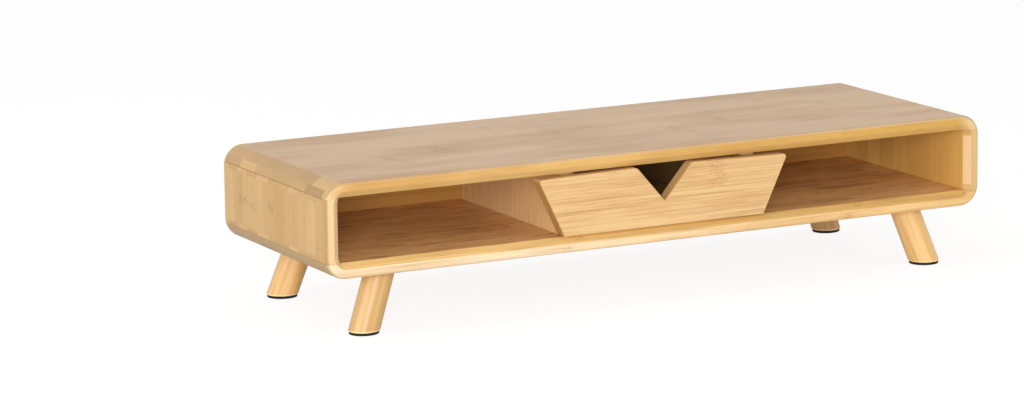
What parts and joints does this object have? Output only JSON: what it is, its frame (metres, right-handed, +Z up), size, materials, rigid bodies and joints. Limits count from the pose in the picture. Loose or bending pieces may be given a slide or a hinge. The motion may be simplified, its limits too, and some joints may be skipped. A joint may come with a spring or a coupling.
{
  "type": "monitor stand with drawer",
  "caption": "Long low desk stand of bamboo boards with rounded corners, open shelf bays, a V-pull drawer in the middle and splayed round legs.",
  "frame": {"origin": "on the floor under the middle of the stand", "axes": "+X along the stand's length to the right, -Y out of the open front where the drawer slides out, +Z up"},
  "size_m": [0.62, 0.205, 0.13],
  "materials": {
    "bamboo": "satin clear lacquer on laminated bamboo",
    "pale_bamboo": "satin clear lacquer on paler laminated bamboo",
    "leg_bamboo": "satin clear lacquer on turned bamboo",
    "black_rubber": "matte",
    "zinc_steel": "zinc plated",
    "brass": "bare brass"
  },
  "bodies": {
    "case": {"top_board": "bamboo", "bottom_board": "bamboo", "left_side_board": "bamboo", "right_side_board": "bamboo", "back_panel": "bamboo", "left_divider": "bamboo", "right_divider": "bamboo", "front_left_leg": "leg_bamboo", "front_right_leg": "leg_bamboo", "rear_left_leg": "leg_bamboo", "rear_right_leg": "leg_bamboo", "front_left_foot_pad": "black_rubber", "front_right_foot_pad": "black_rubber", "rear_left_foot_pad": "black_rubber", "rear_right_foot_pad": "black_rubber", "front_left_leg_bolt": "zinc_steel", "front_right_leg_bolt": "zinc_steel", "rear_left_leg_bolt": "zinc_steel", "rear_right_leg_bolt": "zinc_steel", "front_left_leg_insert": "brass", "front_right_leg_insert": "brass", "rear_left_leg_insert": "brass", "rear_right_leg_insert": "brass"},
    "drawer": {"drawer_front": "pale_bamboo", "drawer_left_side": "pale_bamboo", "drawer_right_side": "pale_bamboo", "drawer_back": "pale_bamboo", "drawer_bottom": "bamboo", "drawer_dowel_left_lower": "bamboo", "drawer_dowel_left_upper": "bamboo", "drawer_dowel_right_lower": "bamboo", "drawer_dowel_right_upper": "bamboo"}
  },
  "joints": [
    {"name": "drawer_slide", "type": "slide", "parent": "case", "child": "drawer", "axis": [0, -1, 0], "range_m": [0, 0.14]}
  ]
}
